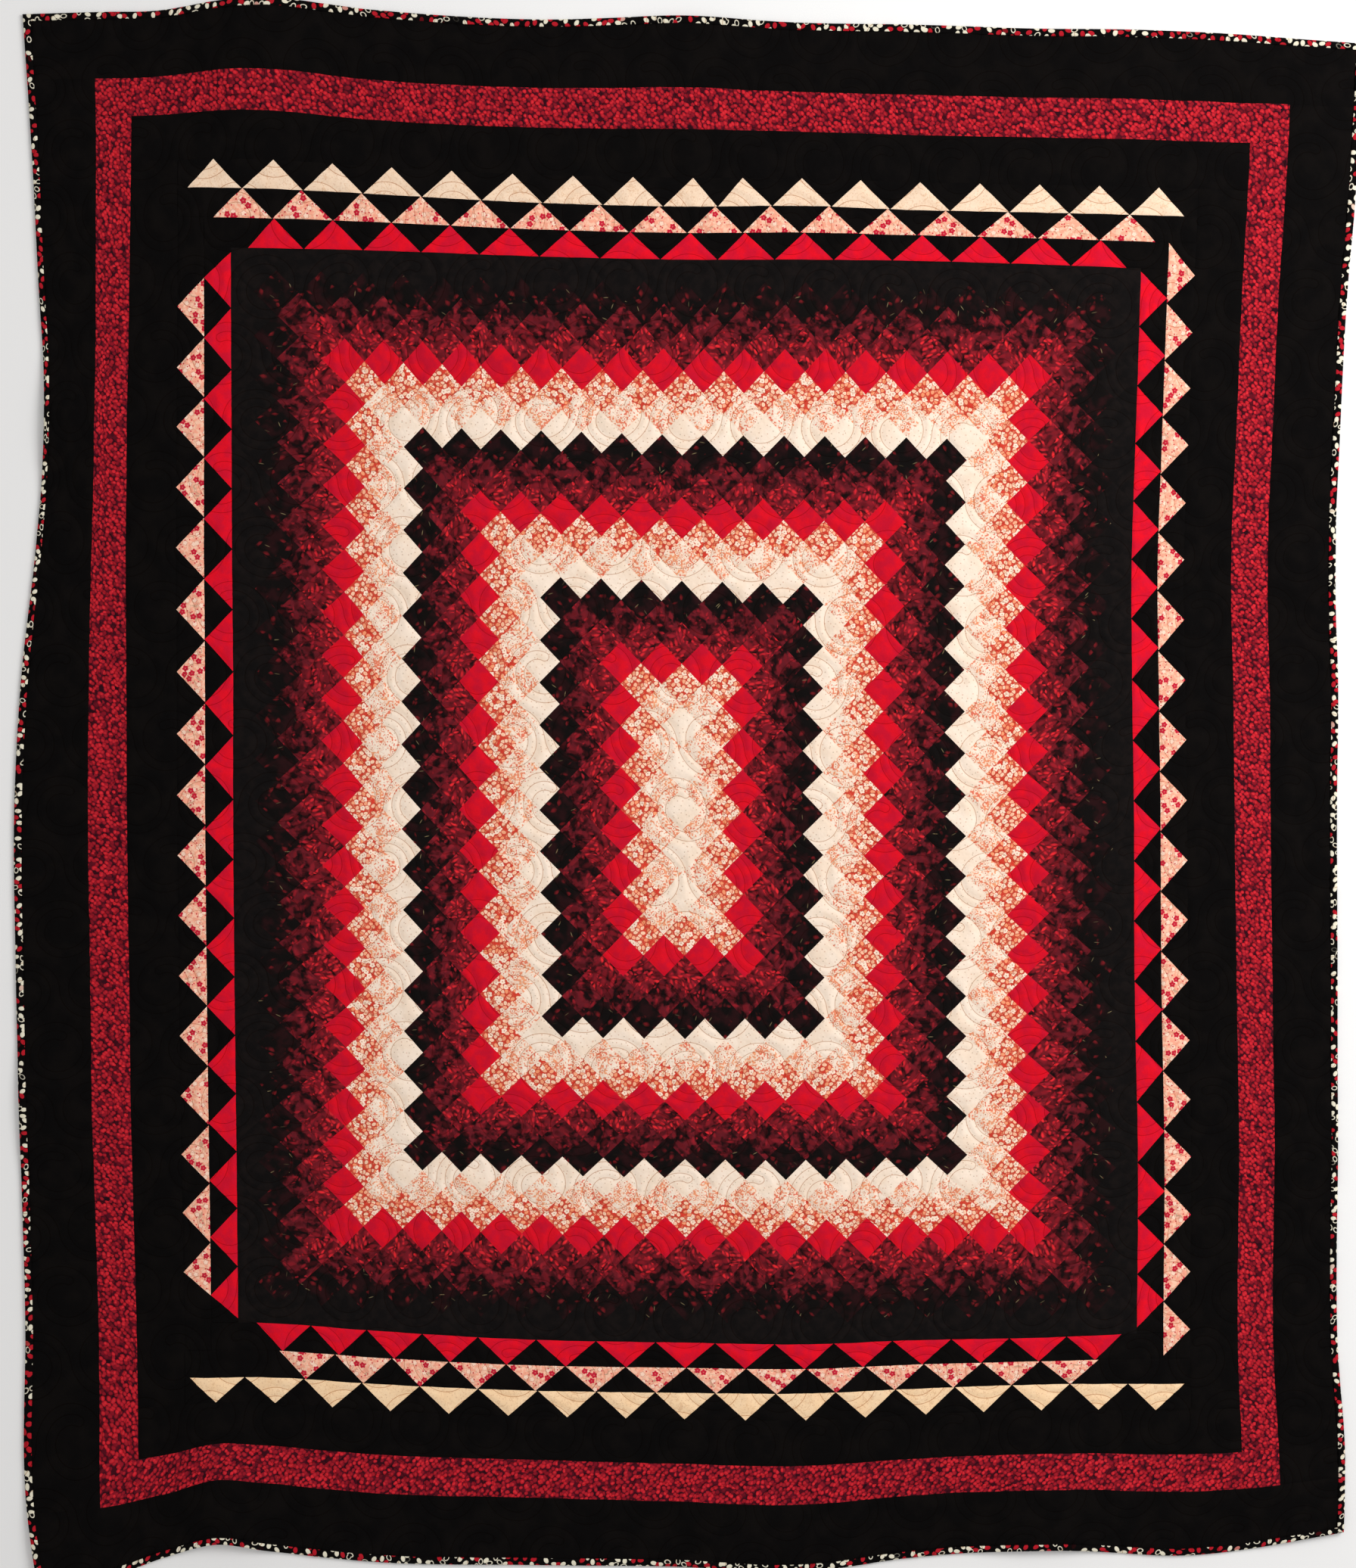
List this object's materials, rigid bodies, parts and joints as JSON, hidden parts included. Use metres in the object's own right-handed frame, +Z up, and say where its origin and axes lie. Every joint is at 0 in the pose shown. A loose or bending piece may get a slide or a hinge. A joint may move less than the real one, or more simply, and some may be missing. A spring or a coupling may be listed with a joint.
{
  "type": "pieced bed quilt",
  "caption": "Large pieced bed quilt laid flat: on-point centre panel in rings, flying-geese strips, three borders and a bound edge, with softly rippled sides.",
  "frame": {"origin": "centre of the quilt's footprint on the surface it lies on", "axes": "+Y towards the quilt's top edge, +X to the right seen from above, +Z up out of its face"},
  "size_m": [2.3492, 2.7528, 0.0208],
  "materials": {
    "patchwork": "matt printed cotton in seven prints",
    "red_cotton": "matt plain cotton",
    "pink_floral": "matt printed cotton",
    "cream_print": "matt printed cotton",
    "black_cotton": "matt plain cotton",
    "red_print": "matt printed cotton",
    "binding_print": "matt printed cotton"
  },
  "bodies": {
    "root": {"centre_panel": "patchwork", "red_geese_left": "red_cotton", "red_geese_right": "red_cotton", "red_geese_bottom": "red_cotton", "red_geese_top": "red_cotton", "pink_geese_left": "pink_floral", "pink_geese_right": "pink_floral", "pink_geese_bottom": "pink_floral", "pink_geese_top": "pink_floral", "cream_geese_bottom": "cream_print", "cream_geese_top": "cream_print", "inner_border_left": "black_cotton", "inner_border_right": "black_cotton", "inner_border_bottom": "black_cotton", "inner_border_top": "black_cotton", "print_border_left": "red_print", "print_border_right": "red_print", "print_border_bottom": "red_print", "print_border_top": "red_print", "outer_border_left": "black_cotton", "outer_border_right": "black_cotton", "outer_border_bottom": "black_cotton", "outer_border_top": "black_cotton", "binding_left": "binding_print", "binding_right": "binding_print", "binding_bottom": "binding_print", "binding_top": "binding_print"}
  },
  "joints": []
}
